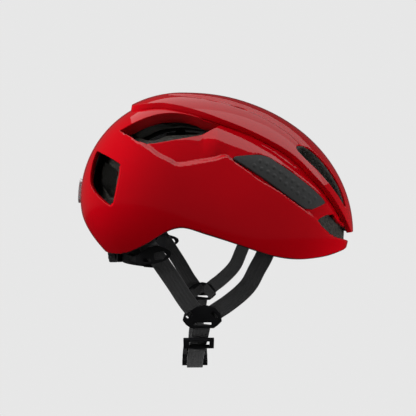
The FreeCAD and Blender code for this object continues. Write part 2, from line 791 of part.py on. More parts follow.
def make_dividers():
    """Sliding plate where the two ear straps meet, with a slot for each strap."""
    half = size("divider_thick") / 2.0
    front = prism("x", -WIDE, WIDE, corners=ribbon([(-61.3, -80), (-61.3, -110)], half))
    plate = prism("y", -WIDE, 0.0, corners=DIVIDER).common(front)
    plate = plate.cut([prism("y", -WIDE, 0.0, corners=slot) for slot in DIVIDER_SLOTS])
    feature("strap_divider_right", plate)
    feature("strap_divider_left", mirrored(plate))


def across_strap(axis_shape, place, lean):
    """Turn a piece made flat about its own centre to lie along the chin strap."""
    piece = axis_shape.copy()
    piece.rotate(Vector(0, 0, 0), Vector(1, 0, 0), lean)
    piece.translate(place)
    return piece


def make_adjuster():
    """Rectangular ring that shortens the chin strap on the wearer's right."""
    frame = box((-14, 13), (-1.4, 1.4), (-6, 6))
    window = box((-9, 9), (-3, 3), (-3.6, 3.6))
    ring = frame.cut(window)
    bar_gap = 1.0 + web_thick / 2.0
    ring.translate(Vector(0, -1.4 - bar_gap + 0.4, 0))
    feature("adjuster_ring", across_strap(ring, Vector(-17, -52, -117.5), 36.0))


def make_keeper():
    """Rubber loop that holds the strap's free end."""
    outer = box((-9.5, 9.5), (-2.2, 2.2), (-3, 3))
    inner = box((-8.6, 8.6), (-1.4, 1.4), (-4, 4))
    feature("strap_keeper", across_strap(outer.cut(inner), Vector(-19.6, -42.6, -130), 41.0))


SOCKET_END = -17.0
PLUG_FACE = 8.2
PRONG = [(6.4, 8.2), (8.8, 8.2), (8.8, -2.5), (11.0, -3.6), (11.0, -8.0), (8.8, -12.3),
         (7.2, -12.3), (6.4, -9.0)]


def buckle_tail(x, z, low, high):
    """Flat end of a buckle half, with the slot that the webbing runs through."""
    half = size("buckle_width") / 2.0
    middle = (low + high) / 2.0
    tail = box((x - half, x + half), (low, high), (z - 2.5, z + 2.5))
    return tail.cut(box((x - 8.5, x + 8.5), (middle - 2, middle + 2), (z - 4, z + 4)))


def make_buckle():
    """Side-release buckle lying across under the chin."""
    x = size("buckle_x")
    z = size("buckle_z")
    half = size("buckle_width") / 2.0
    deep = size("buckle_thick") / 2.0
    body = box((x - half, x + half), (SOCKET_END, 8.0), (z - deep, z + deep))
    throat = box((x - half + 2.5, x + half - 2.5), (-14.0, 9.0), (z - deep + 2, z + deep - 2))
    windows = box((x - half - 1, x + half + 1), (-12.5, -2.6), (z - deep + 2.0, z + deep - 2.0))
    tail = buckle_tail(x, z, -26.0, SOCKET_END)
    feature("buckle_socket", joined([carved(body, [throat, windows]), tail]))
    plug = box((x - half, x + half), (PLUG_FACE, 12.0), (z - deep, z + deep))
    tongue = box((x - 2.2, x + 2.2), (-12.0, PLUG_FACE), (z - 2.4, z + 2.4))
    tail = buckle_tail(x, z, 12.0, 22.0)
    feature("buckle_plug", joined([plug, tongue, tail]))
    for label, side in (("prong_rear", -1), ("prong_front", 1)):
        outline = [(x + side * a, y) for a, y in PRONG]
        feature(label, prism("z", z - 2.6, z + 2.6, corners=outline))


make_v_straps()
make_chin_straps()
make_dividers()
make_adjuster()
make_keeper()
make_buckle()

# ---------------------------------------------------------------------- export

doc.recompute()
for item in doc.Objects:
    if "Invalid" in item.State or "Error" in item.State:
        raise RuntimeError(item.Name + " failed")
for item in parts:
    if item.Shape.isNull() or not item.Shape.isValid() or not item.Shape.Solids:
        raise RuntimeError(item.Label + " is not a sound solid")

os.makedirs("parts", exist_ok=True)
for item in parts:
    item.Shape.exportStep(os.path.join("parts", item.Label + ".step"))
    bounds = item.Shape.optimalBoundingBox(False)
    print(f"{item.Label}: {len(item.Shape.Solids)} solids, {item.Shape.Volume / 1000.0:.2f} cm3, "
          f"x {bounds.XMin:.1f} {bounds.XMax:.1f} y {bounds.YMin:.1f} {bounds.YMax:.1f} "
          f"z {bounds.ZMin:.1f} {bounds.ZMax:.1f}")
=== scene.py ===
"""Looks of the cycling helmet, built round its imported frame. Drawings are in millimetres."""
import math
import bpy
import numpy as np
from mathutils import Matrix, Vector


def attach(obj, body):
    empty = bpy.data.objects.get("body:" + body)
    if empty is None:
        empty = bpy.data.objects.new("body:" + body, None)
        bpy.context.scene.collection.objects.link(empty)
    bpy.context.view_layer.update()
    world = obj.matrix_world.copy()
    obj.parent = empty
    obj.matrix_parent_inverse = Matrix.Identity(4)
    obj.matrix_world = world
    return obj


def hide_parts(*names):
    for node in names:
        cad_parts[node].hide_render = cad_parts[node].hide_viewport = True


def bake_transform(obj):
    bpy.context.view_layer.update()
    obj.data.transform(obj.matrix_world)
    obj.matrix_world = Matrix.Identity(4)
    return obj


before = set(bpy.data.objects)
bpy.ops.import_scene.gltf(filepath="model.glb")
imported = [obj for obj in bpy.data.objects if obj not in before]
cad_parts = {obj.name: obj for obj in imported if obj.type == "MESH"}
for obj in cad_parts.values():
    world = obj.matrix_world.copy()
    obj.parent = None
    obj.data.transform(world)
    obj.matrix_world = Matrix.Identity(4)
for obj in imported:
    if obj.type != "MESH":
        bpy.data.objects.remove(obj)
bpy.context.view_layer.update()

MM = 0.001

# ------------------------------------------------------------------ dome shapes

WIDEST_X = -30.0
PLAN_POWER = 2.3
WAIST_REAR = 8.5
WAIST_FRONT = -23.0
POLE = np.array([-25.0, 0.0, -32.0])
SHELL = {"front": 158.0, "rear": 99.7, "half": 102.0, "top": 108.4, "low": 85.0, "heel": 136.0}
CAVITY = {"front": 131.0, "rear": 72.0, "half": 78.5, "top": 81.0, "low": 130.0, "heel": 122.0}
CROWN_RISE = 4.0
SKIN = 1.2


def ramp(low, high, x):
    part = np.clip((x - low) / (high - low), 0.0, 1.0)
    return part * part * (3.0 - 2.0 * part)


def dome_height(dome, p):
    """Below zero inside the dome, above zero outside it."""
    x, y, z = p[..., 0], p[..., 1], p[..., 2]
    waist = WAIST_REAR + (WAIST_FRONT - WAIST_REAR) * ramp(-80.0, 40.0, x)
    reach = np.where(x > WIDEST_X, dome["front"], dome["rear"])
    rise = np.where(z > waist, dome["top"] - waist, dome["low"])
    plan = (np.abs(x - WIDEST_X) / reach) ** PLAN_POWER
    plan = plan + (np.abs(y) / dome["half"]) ** PLAN_POWER
    body = 100.0 * (np.sqrt(plan ** (2.0 / PLAN_POWER) + ((z - waist) / rise) ** 2) - 1.0)
    heel = (x + dome["heel"]) * -0.735 + (z + 6.0) * -0.678
    mix = np.clip(0.5 + (body - heel) / 20.0, 0.0, 1.0)
    return heel * (1.0 - mix) + body * mix + 10.0 * mix * (1.0 - mix)


def dome_points(dome, angles):
    """Where rays from the pole axis, given by turn and tilt, meet the dome."""
    turn, tilt = angles[:, 0], angles[:, 1]
    rays = np.stack([np.cos(turn) * np.cos(tilt), np.sin(tilt), np.sin(turn) * np.cos(tilt)], 1)
    near = np.full(len(rays), 10.0)
    far = np.full(len(rays), 260.0)
    for _ in range(24):
        middle = (near + far) / 2.0
        inside = dome_height(dome, POLE + rays * middle[:, None]) < 0.0
        near = np.where(inside, middle, near)
        far = np.where(inside, far, middle)
    return POLE + rays * near[:, None]


def dome_normals(dome, p):
    step = 0.05
    slopes = [dome_height(dome, p + np.eye(3)[axis] * step)
              - dome_height(dome, p - np.eye(3)[axis] * step) for axis in range(3)]
    normal = np.stack(slopes, -1)
    return normal / np.linalg.norm(normal, axis=-1, keepdims=True)


# ------------------------------------------------------------------- outlines

def softened(corners, rounds=2):
    """A closed outline with its corners cut off a few times over."""
    points = np.array(corners, float)
    for _ in range(rounds):
        after = np.roll(points, -1, axis=0)
        cut = np.empty((2 * len(points), points.shape[1]))
        cut[0::2] = points * 0.75 + after * 0.25
        cut[1::2] = points * 0.25 + after * 0.75
        points = cut
    return points


def curved(points, steps=6):
    """A smooth open line through its points."""
    points = np.array(points, float)
    padded = np.vstack([2 * points[0] - points[1], points, 2 * points[-1] - points[-2]])
    line = []
    for index in range(1, len(padded) - 2):
        a, b, c, d = padded[index - 1:index + 3]
        for step in range(steps):
            t = step / steps
            line.append(0.5 * (2 * b + (c - a) * t + (2 * a - 5 * b + 4 * c - d) * t ** 2
                               + (3 * b - a - 3 * c + d) * t ** 3))
    line.append(points[-1])
    return np.array(line)


def line_distance(points, line):
    """Distance to an open line of points, in as many dimensions as the line has."""
    best = np.full(len(points), 1e9)
    for start, end in zip(line[:-1], line[1:]):
        along = end - start
        part = np.clip((points - start) @ along / (along @ along), 0.0, 1.0)
        gap = np.linalg.norm(points - start - part[:, None] * along, axis=1)
        best = np.minimum(best, gap)
    return best


def outline_distance(points, corners):
    """Distance to a closed outline, below zero inside it."""
    corners = np.asarray(corners, float)
    loop = np.vstack([corners, corners[:1]])
    inside = np.zeros(len(points), bool)
    for (ax, ay), (bx, by) in zip(loop[:-1], loop[1:]):
        if ay == by:
            continue
        crosses = (points[:, 1] < ay) != (points[:, 1] < by)
        at = ax + (points[:, 1] - ay) / (by - ay) * (bx - ax)
        inside ^= crosses & (points[:, 0] < at)
    return np.where(inside, -1.0, 1.0) * line_distance(points, loop)


# Lower edge of the foam and shells, seen from the side: x, z.
RIM = curved([(140, -37), (124, -37.3), (109, -38.6), (94, -40.9), (81, -41.9), (66, -42.1),
              (43, -38.5), (23, -32), (6, -26), (-18, -18.3), (-31, -15.2), (-43, -18.4),
              (-61, -29.4), (-78, -37.6), (-90, -39.6), (-104, -39.4), (-120, -38)])
CROWN_EDGE = curved([(-79, 88.5), (-73, 88.3), (-48, 87.9), (-25, 82.4), (-2, 74), (31, 60.2),
                     (60, 43.8), (80, 24.9), (91, 14), (102, 0.5), (114.8, -17.7)])
CROWN = np.vstack([CROWN_EDGE, [(118, -21.5), (150, -21.5), (150, 130), (-79, 130)]])
SIDE_VENT = softened([(-86.5, 66), (-85, 66.3), (-72, 73), (-57, 79.5), (-43, 82), (-28, 80.8),
                      (-13.5, 76), (1, 71.8), (3, 71.5), (-4, 67), (-11, 63), (-16, 61.6), (-32, 58.2),
                      (-49, 54.6), (-57, 53.2), (-63, 53.2), (-69, 55), (-77, 60.3)])
VENT_MIDDLE = np.array([(-86, 66), (-40, 67), (3, 71.5)], float)
REAR_VENT = softened([(-107, 50), (-105, 50), (-81.5, 37), (-80, 34), (-80, 28), (-85, 4), (-87, 0.5),
                      (-91, 1.5), (-100.7, 8.5), (-109, 17), (-111, 25), (-110, 39)], 2)
FRONT_VENT = softened([(81, -9.6), (92, -4.5), (97.5, -4.5), (108, -12.5), (118, -19),
                       (145, -21.5), (145, -34.5), (124, -32), (112.7, -28.8), (100.8, -26.3),
                       (90.4, -19)])
GRIP = softened([(10.4, 42), (25, 43.8), (36.8, 44.3), (50, 36.7), (65, 26.4), (80.6, 15),
                 (91, 5.4), (90, 3.4), (73.2, -2.8), (58.4, 7), (39, 21), (20.5, 33.4),
                 (10.8, 39.5)], 1)
BROW_SLOT = softened([(56, 55), (65.5, 51), (67.5, 41), (65.5, 30), (61.5, 16), (52, -3), (49.5, 2),
                      (48.5, 16), (50, 32), (52, 46)])
DIAL_NOTCH = np.array([(-29, -60), (-29, -33), (-23, -25), (23, -25), (29, -33), (29, -60)], float)
CROWN_SLITS = [softened([(-16, 44), (2, 47), (2, 52), (-16, 49)]),
               softened([(8, 47.5), (26, 48), (26, 53), (8, 52.5)])]

# Lines on the right side of the shells, in space.
STEP_FOOT = curved([(-2, 71, 73), (15, 73.5, 64), (32, 75, 55), (45, 75, 48), (57, 75, 40),
                    (69, 74, 31), (81, 70.5, 21), (95, 65, 5), (108, 58, -12)])
FACET_LINE = curved([(-15.5, 83, 60), (9, 84, 51.2), (24, 84.3, 47), (38, 83, 45.6), (51, 81.5, 38.5),
                     (66, 78, 28.5), (82, 73, 16.5), (94, 68, 4), (105, 61, -12)])
SHOULDER = curved([(-86, 66, 66), (-66, 86, 53), (-52, 93.5, 42), (-42, 96, 37), (-36, 97, 33.6),
                   (-28, 97, 34), (-4, 92, 38.6), (5, 89, 42), (10, 89, 38.4), (30, 90, 23.6),
                   (49, 88, 12.6), (63, 85, 3), (74, 82, -4), (80, 79, -9), (90, 73, -20),
                   (99, 66, -27)])


def rim_level(p):
    """Above zero below the rim line."""
    order = np.argsort(RIM[:, 0])
    return np.interp(p[:, 0], RIM[order, 0], RIM[order, 1]) - p[:, 2]


def side_level(outline):
    return lambda p: outline_distance(p[:, [0, 2]], outline)


def crown_level(p):
    """The crown's outline; its tail runs forward on the helmet's sides."""
    tail = 6.0 * (p[:, 1] / 56.0) ** 2 * (1.0 - ramp(-60.0, -40.0, p[:, 0]))
    return outline_distance(np.stack([p[:, 0] - tail, p[:, 2]], 1), CROWN)


def brow_level(p):
    level = outline_distance(np.stack([np.abs(p[:, 1]), p[:, 2]], 1), BROW_SLOT)
    return np.where(p[:, 0] > 40.0, level, 50.0)


def slit_level(outline):
    def level(p):
        flat = outline_distance(np.stack([p[:, 0], np.abs(p[:, 1])], 1), outline)
        return np.where(p[:, 2] > 60.0, flat, 50.0)
    return level


def notch_level(p):
    level = outline_distance(p[:, [1, 2]], DIAL_NOTCH)
    return np.where(p[:, 0] < -60.0, level, 50.0)


# ------------------------------------------------------------------ trimmed sheets

class Sheet:
    """A fine net of faces over a dome. Outlines trim it, and its edges grow walls."""

    def __init__(self, dome, turns, tilts):
        self.dome = dome
        u, v = np.meshgrid(turns, tilts, indexing="ij")
        self.angles = np.stack([u.ravel(), v.ravel()], 1)
        self.p = dome_points(dome, self.angles)
        index = np.arange(u.size).reshape(u.shape)
        self.quads = np.stack([index[:-1, :-1], index[:-1, 1:], index[1:, 1:], index[1:, :-1]],
                              -1).reshape(-1, 4)
        self.tris = np.zeros((0, 3), int)
        self.tag = np.zeros(len(self.p), int)

    def edges(self):
        pairs = [self.quads[:, [i, (i + 1) % 4]] for i in range(4)]
        pairs += [self.tris[:, [i, (i + 1) % 3]] for i in range(3)]
        return np.unique(np.sort(np.vstack(pairs), axis=1), axis=0)

    def meet(self, level, tag):
        """Draw a level's zero line into the net, moving the nearest corners onto it."""
        value = level(self.p)
        value[np.abs(value) < 1e-4] = 0.0
        edges = self.edges()
        a, b = edges[:, 0], edges[:, 1]
        crossing = value[a] * value[b] < 0.0
        a, b = a[crossing], b[crossing]
        part = value[a] / (value[a] - value[b])
        mover = np.where(part < 0.5, a, b)
        share = np.minimum(part, 1.0 - part)
        place = self.angles[a] + (self.angles[b] - self.angles[a]) * part[:, None]
        order = np.argsort(-share)
        free = order[self.tag[mover[order]] == 0]
        self.angles[mover[free]] = place[free]
        moved = np.unique(mover)
        self.p[moved] = dome_points(self.dome, self.angles[moved])
        value[moved] = 0.0
        self.tag[moved] = tag
        side = np.sign(value)
        for first in (0, 1):
            corner = np.roll(np.arange(4), -first)
            s = side[self.quads[:, corner]]
            split = (s[:, 0] == 0) & (s[:, 2] == 0) & (s[:, 1] * s[:, 3] < 0)
            folded = self.quads[split][:, corner]
            self.tris = np.vstack([self.tris, folded[:, [0, 1, 2]], folded[:, [0, 2, 3]]])
            self.quads = self.quads[~split]
        return side

    def keep(self, side, sign):
        """Keep the faces on one side of a line that meet() drew."""
        def stays(faces):
            total = side[faces].sum(axis=1)
            return total * sign > 0
        self.quads = self.quads[stays(self.quads)]
        self.tris = self.tris[stays(self.tris)]

    def trim(self, level, tag, sign=1):
        """Cut away what lies inside an outline, or with sign -1 what lies outside it."""
        self.keep(self.meet(level, tag), sign)

    def built(self, rise, walls):
        """Vertices and faces of the net raised by rise, with a wall profile on each cut edge.

        walls maps a line's tag to its profile: steps outward along the net and downward."""
        normal = dome_normals(self.dome, self.p)
        points = self.p + normal * rise[:, None]
        faces = [tuple(q) for q in self.quads] + [tuple(t) for t in self.tris]
        directed = {}
        for face in faces:
            for start, end in zip(face, face[1:] + face[:1]):
                directed[(start, end)] = True
        border = [(s, e) for s, e in directed if (e, s) not in directed]
        outward = np.zeros_like(points)
        for start, end in border:
            along = points[end] - points[start]
            side = np.cross(along, normal[start])
            side /= np.linalg.norm(side) + 1e-9
            outward[start] += side
            outward[end] += side
        length = np.linalg.norm(outward, axis=1, keepdims=True)
        outward = outward / np.maximum(length, 1e-9)
        vertices = [points]
        count = len(points)
        rings = {}
        for start, end in border:
            for corner in (start, end):
                if corner in rings or self.tag[corner] not in walls:
                    continue
                profile = walls[self.tag[corner]]
                profile = profile(points[corner]) if callable(profile) else profile
                ring = [points[corner] + outward[corner] * a - normal[corner] * b
                        for a, b in profile]
                rings[corner] = list(range(count, count + len(ring)))
                vertices.append(np.array(ring))
                count += len(ring)
        for start, end in border:
            if start not in rings or end not in rings:
                continue
            first = [start] + rings[start]
            second = [end] + rings[end]
            for k in range(min(len(first), len(second)) - 1):
                faces.append((second[k], first[k], first[k + 1], second[k + 1]))
        return np.vstack(vertices), faces


def piece_from(name, vertices, faces):
    """A mesh object from millimetre points, without its unused points."""
    used = sorted({corner for face in faces for corner in face})
    place = {old: new for new, old in enumerate(used)}
    mesh = bpy.data.meshes.new(name)
    mesh.from_pydata([tuple(vertices[i] * MM) for i in used], [],
                     [[place[i] for i in face] for face in faces])
    mesh.validate()
    mesh.update()
    mesh.shade_smooth()
    piece = bpy.data.objects.new(name, mesh)
    bpy.context.scene.collection.objects.link(piece)
    return piece


def apply_modifiers(piece):
    graph = bpy.context.evaluated_depsgraph_get()
    mesh = bpy.data.meshes.new_from_object(piece.evaluated_get(graph))
    piece.modifiers.clear()
    piece.data = mesh


def mesh_points(piece):
    flat = np.empty(len(piece.data.vertices) * 3)
    piece.data.vertices.foreach_get("co", flat)
    return flat.reshape(-1, 3)


def mesh_normals(piece):
    flat = np.empty(len(piece.data.vertices) * 3)
    piece.data.vertex_normals.foreach_get("vector", flat)
    return flat.reshape(-1, 3)


def move_points(piece, points):
    piece.data.vertices.foreach_set("co", points.ravel())
    piece.data.update()


def thicken(piece, depth_mm):
    skin = piece.modifiers.new("thickness", "SOLIDIFY")
    skin.thickness = depth_mm * MM
    skin.offset = -1.0
    weights = piece.modifiers.new("normals", "WEIGHTED_NORMAL")
    weights.keep_sharp = True
    apply_modifiers(piece)


def edge_profile(radius, slope, fall, steps=4):
    """A rounded edge, then a straight wall: the wall leans out by slope over its fall."""
    tilt = math.atan2(fall, slope)
    arc = [(radius * math.sin(tilt * k / steps), radius * (1.0 - math.cos(tilt * k / steps)))
           for k in range(1, steps + 1)]
    a, b = arc[-1]
    rest = fall - b
    run = rest * slope / fall
    return arc + [(a + run * part, b + rest * part) for part in (0.5, 1.0)]


# ------------------------------------------------------------------- materials

class Finish:
    """A material and short ways to add the nodes that vary it."""

    def __init__(self, name, colour, roughness, metallic=0.0, coat=0.0, coat_roughness=0.03):
        self.material = bpy.data.materials.new(name)
        self.material.use_nodes = True
        self.tree = self.material.node_tree
        self.shader = self.tree.nodes["Principled BSDF"]
        self.colour = colour
        self.set("Base Color", (*colour, 1.0))
        self.set("Roughness", roughness)
        self.set("Metallic", metallic)
        self.set("Coat Weight", coat)
        self.set("Coat Roughness", coat_roughness)
        self.place = self.node("ShaderNodeTexCoord").outputs["Object"]

    def set(self, socket, value):
        self.shader.inputs[socket].default_value = value

    def node(self, kind, **values):
        node = self.tree.nodes.new(kind)
        for name, value in values.items():
            setattr(node, name, value)
        return node

    def join(self, output, socket):
        self.tree.links.new(output, socket)

    def noise(self, scale, detail=2.0):
        noise = self.node("ShaderNodeTexNoise")
        noise.inputs["Scale"].default_value = scale
        noise.inputs["Detail"].default_value = detail
        self.join(self.place, noise.inputs["Vector"])
        return noise.outputs["Fac"]

    def cells(self, scale, feature="F1"):
        cells = self.node("ShaderNodeTexVoronoi", feature=feature)
        cells.inputs["Scale"].default_value = scale
        self.join(self.place, cells.inputs["Vector"])
        return cells.outputs["Distance"]

    def math(self, operation, first, second=None):
        node = self.node("ShaderNodeMath", operation=operation)
        for value, socket in ((first, node.inputs[0]), (second, node.inputs[1])):
            if value is None:
                continue
            if isinstance(value, (int, float)):
                socket.default_value = value
            else:
                self.join(value, socket)
        return node.outputs["Value"]

    def between(self, factor, low, high, start=0.0, end=1.0):
        """Remap a factor to a range of values."""
        node = self.node("ShaderNodeMapRange")
        node.inputs["From Min"].default_value = start
        node.inputs["From Max"].default_value = end
        node.inputs["To Min"].default_value = low
        node.inputs["To Max"].default_value = high
        self.join(factor, node.inputs["Value"])
        return node.outputs["Result"]

    def vary_colour(self, factor, low, high, start=0.35, end=0.65):
        """Colour that runs between two shares of the base colour, or two colours."""
        ramp_node = self.node("ShaderNodeValToRGB")
        for element, place, shade in zip(ramp_node.color_ramp.elements, (start, end), (low, high)):
            element.position = place
            if isinstance(shade, (int, float)):
                shade = [channel * shade for channel in self.colour]
            element.color = (*shade, 1.0)
        self.join(factor, ramp_node.inputs["Fac"])
        self.join(ramp_node.outputs["Color"], self.shader.inputs["Base Color"])

    def vary_roughness(self, factor, low, high):
        self.join(self.between(factor, low, high), self.shader.inputs["Roughness"])

    def bump(self, height, depth_mm, socket="Normal"):
        bump = self.node("ShaderNodeBump")
        bump.inputs["Distance"].default_value = depth_mm * MM
        self.join(height, bump.inputs["Height"])
        self.join(bump.outputs["Normal"], self.shader.inputs[socket])
        return self


def gloss_paint():
    finish = Finish("gloss_red_paint", (0.55, 0.0004, 0.006), 0.25, coat=1.0, coat_roughness=0.02)
    finish.set("Specular IOR Level", 0.0)
    finish.vary_colour(finish.noise(9.0), 0.94, 1.06)
    finish.vary_roughness(finish.noise(140.0, 4.0), 0.18, 0.3)
    finish.bump(finish.noise(260.0, 1.0), 0.006, "Coat Normal")
    return finish.material


def foam_beads():
    finish = Finish("expanded_foam", (0.034, 0.033, 0.029), 0.62)
    edge = finish.cells(330.0, "DISTANCE_TO_EDGE")
    finish.vary_colour(finish.noise(420.0, 3.0), 0.6, 1.7)
    finish.vary_roughness(finish.noise(300.0), 0.5, 0.75)
    finish.bump(finish.math("MINIMUM", edge, 0.12), 1.6)
    return finish.material


def soft_rubber():
    finish = Finish("grip_rubber", (0.036, 0.037, 0.037), 0.6)
    grain = finish.noise(1500.0, 3.0)
    finish.vary_colour(grain, 0.85, 1.2)
    finish.vary_roughness(finish.noise(60.0), 0.5, 0.68)
    finish.bump(grain, 0.05)
    return finish.material


def moulded_plastic(name, colour, roughness, grain_mm):
    finish = Finish(name, colour, roughness)
    grain = finish.noise(1100.0, 4.0)
    finish.vary_colour(finish.noise(45.0), 0.8, 1.3)
    finish.vary_roughness(finish.noise(90.0, 3.0), roughness * 0.8, roughness * 1.25)
    finish.bump(grain, grain_mm)
    return finish.material


def brushed_steel(name):
    finish = Finish(name, (0.46, 0.46, 0.47), 0.3, metallic=1.0)
    finish.vary_roughness(finish.noise(700.0, 4.0), 0.22, 0.45)
    finish.bump(finish.noise(900.0), 0.01)
    return finish.material


def prism_reflector():
    finish = Finish("reflector_film", (0.62, 0.62, 0.63), 0.25, metallic=0.5, coat=1.0)
    cells = finish.cells(520.0, "DISTANCE_TO_EDGE")
    finish.vary_colour(cells, 0.7, 1.15, 0.02, 0.12)
    finish.bump(cells, 0.4)
    return finish.material


def knit_fabric():
    finish = Finish("pad_knit", (0.022, 0.022, 0.023), 0.9)
    finish.set("Sheen Weight", 0.25)
    finish.set("Sheen Roughness", 0.5)
    knit = finish.cells(900.0)
    finish.vary_colour(knit, 1.5, 0.6, 0.1, 0.7)
    finish.bump(knit, 0.35)
    return finish.material


def hook_tape():
    finish = Finish("hook_tape", (0.014, 0.014, 0.015), 0.8)
    hooks = finish.cells(1100.0)
    finish.vary_colour(hooks, 2.2, 0.5, 0.1, 0.6)
    finish.bump(hooks, 0.6)
    return finish.material


def webbing():
    """Narrow woven polyester: ribs along the strap, crossed by the weft."""
    finish = Finish("strap_webbing", (0.056, 0.056, 0.057), 0.85)
    finish.set("Sheen Weight", 0.2)
    finish.set("Sheen Roughness", 0.4)
    parts = finish.node("ShaderNodeSeparateXYZ")
    finish.join(finish.node("ShaderNodeTexCoord").outputs["UV"], parts.inputs["Vector"])
    length, width = parts.outputs["X"], parts.outputs["Y"]
    twill = finish.math("SINE", finish.math("MULTIPLY", finish.math(
        "ADD", length, finish.math("MULTIPLY", finish.math("PINGPONG", width, 3.75), 0.9)), 5.2))
    ribs = finish.math("SINE", finish.math("MULTIPLY", width, 7.5))
    weave = finish.math("ADD", finish.math("MULTIPLY", twill, 0.5), finish.math("MULTIPLY", ribs, 0.14))
    fuzz = finish.math("ADD", weave, finish.noise(1800.0, 3.0))
    finish.vary_colour(finish.between(fuzz, 0.0, 1.0, -0.8, 1.6), 0.55, 1.7, 0.25, 0.8)
    finish.bump(weave, 0.16)
    return finish.material


PAINT = gloss_paint()
FOAM = foam_beads()
RUBBER = soft_rubber()
TRIM = moulded_plastic("trim_plastic", (0.02, 0.019, 0.018), 0.5, 0.03)
CRADLE = moulded_plastic("cradle_nylon", (0.011, 0.011, 0.012), 0.42, 0.03)
RACK = moulded_plastic("rack_nylon", (0.03, 0.031, 0.033), 0.38, 0.02)
BUCKLE = moulded_plastic("buckle_plastic", (0.009, 0.009, 0.01), 0.3, 0.015)
STEEL = brushed_steel("screw_steel")
SPRING = brushed_steel("spring_steel")
REFLECTOR = prism_reflector()
KNIT = knit_fabric()
HOOKS = hook_tape()
WEBBING = webbing()

# ---------------------------------------------------------------- shells

TURNS = np.radians(np.linspace(-30.0, 215.0, 400))
TILTS = np.radians(np.linspace(-84.0, 84.0, 241))
(CROWN_TAG, FOOT_TAG, VENT_TAG, REAR_TAG, MOUTH_TAG, BROW_TAG, SLIT_TAG, RIM_TAG, GRIP_TAG,
 CREASE_TAG) = range(1, 11)


def on_right(p):
    """The same points with their distance from the centre plane made positive."""
    return np.column_stack([p[:, 0], np.abs(p[:, 1]), p[:, 2]])


def seated(line, dome=SHELL):
    """A line in space moved onto a dome, along rays from the pole."""
    rays = np.asarray(line, float) - POLE
    rays /= np.linalg.norm(rays, axis=1, keepdims=True)
    angles = np.stack([np.arctan2(rays[:, 2], rays[:, 0]), np.arcsin(rays[:, 1])], 1)
    return dome_points(dome, angles)


GROOVE = seated(curved([(-66, 37, 95), (-40, 41, 101), (-16, 45, 100), (6, 48, 96), (24, 50.5, 89),
                        (45, 52, 76), (62, 54, 63), (71, 56, 52), (90, 60, 28)]))
STEP_FOOT = seated(STEP_FOOT)
FACET_LINE = seated(FACET_LINE)
SHOULDER = seated(SHOULDER)


def above(p, line):
    """+1 above a line seen from the side, -1 below it."""
    order = np.argsort(line[:, 0])
    return np.where(p[:, 2] > np.interp(p[:, 0], line[order, 0], line[order, 2]), 1.0, -1.0)


def crown_height(p):
    q = on_right(p)
    groove = np.clip(1.0 - line_distance(q, GROOVE) / 4.5, 0.0, 1.0)
    return CROWN_RISE - 1.5 * groove * ramp(-64.0, -25.0, p[:, 0])


def shoulder_width(x):
    return 1.4 + 3.2 * ramp(-70.0, -55.0, x) * (1.0 - ramp(-2.0, 12.0, x))


def shoulder_fall(x):
    return (0.5 + 2.7 * ramp(-80.0, -50.0, x) * (1.0 - 0.55 * ramp(0.0, 20.0, x))) \
        * ramp(-88.0, -76.0, x) * (1.0 - ramp(88.0, 100.0, x))


def shoulder_level(p):
    q = on_right(p)
    level = line_distance(q, SHOULDER) * above(q, SHOULDER)
    return np.where((q[:, 0] > -80.0) & (q[:, 0] < 96.0), level, 50.0)


def ledge_level(p):
    return shoulder_level(p) - shoulder_width(p[:, 0])


def facet_level(p):
    q = on_right(p)
    level = line_distance(q, FACET_LINE) * above(q, FACET_LINE)
    return np.where((q[:, 0] > -16.0) & (q[:, 0] < 100.0), level, 50.0)


def lower_height(p):
    """The side facet: a ledge below the crown, set back behind the shoulder line."""
    q = on_right(p)
    x = q[:, 0]
    inward = line_distance(q, SHOULDER) * above(q, SHOULDER)
    width, fall = shoulder_width(x), shoulder_fall(x)
    ledge = -fall * np.clip(inward / width, 0.0, 1.0)
    past = np.maximum(inward - width, 0.0)
    to_facet = line_distance(q, FACET_LINE)
    to_step = line_distance(q, STEP_FOOT)
    peak = -fall + (fall + 0.7) * ramp(-18.0, 0.0, x) * (1.0 - ramp(88.0, 104.0, x))
    below = ledge + (peak + fall) * past / (past + to_facet + 1e-6)
    upper = peak - (peak + 1.3) * to_facet / (to_facet + to_step + 1e-6)
    facet = np.where(above(q, FACET_LINE) > 0.0, upper, below)
    ahead = ramp(-18.0, -10.0, x)
    height = np.where(inward > 0.0, ledge + (facet - ledge) * ahead, ledge)
    over_vent = (p[:, 2] > np.interp(x, VENT_MIDDLE[:, 0], VENT_MIDDLE[:, 1])) & (x < 3.0)
    return np.where(over_vent, height * ahead, height)


def step_profile(point):
    """The crown's side wall leans out more towards the rear."""
    return edge_profile(0.7, 0.7 + 2.9 * (1.0 - float(ramp(-40.0, 40.0, point[0]))), 4.4)


def rear_vent_profile(point):
    """A broad bevel on the front edge of the rear vent, a plain lip on the rest."""
    if point[0] > -90.0 and point[2] < 35.0:
        return edge_profile(0.4, 2.6, 1.5)[:-1] + [(2.6, 1.5), (3.0, 3.5)]
    return edge_profile(0.6, 0.1, 1.8) + [(0.5, 3.5)]


def crown_shell():
    sheet = Sheet(SHELL, TURNS, TILTS)
    sheet.trim(crown_level, CROWN_TAG, -1)
    sheet.trim(brow_level, BROW_TAG)
    for outline in CROWN_SLITS:
        sheet.trim(slit_level(outline), SLIT_TAG)
    lip = edge_profile(0.7, 0.1, 1.7)
    walls = {CROWN_TAG: step_profile, BROW_TAG: lip, SLIT_TAG: lip}
    piece = piece_from("crown_shell_gloss", *sheet.built(crown_height(sheet.p), walls))
    thicken(piece, SKIN)
    return piece


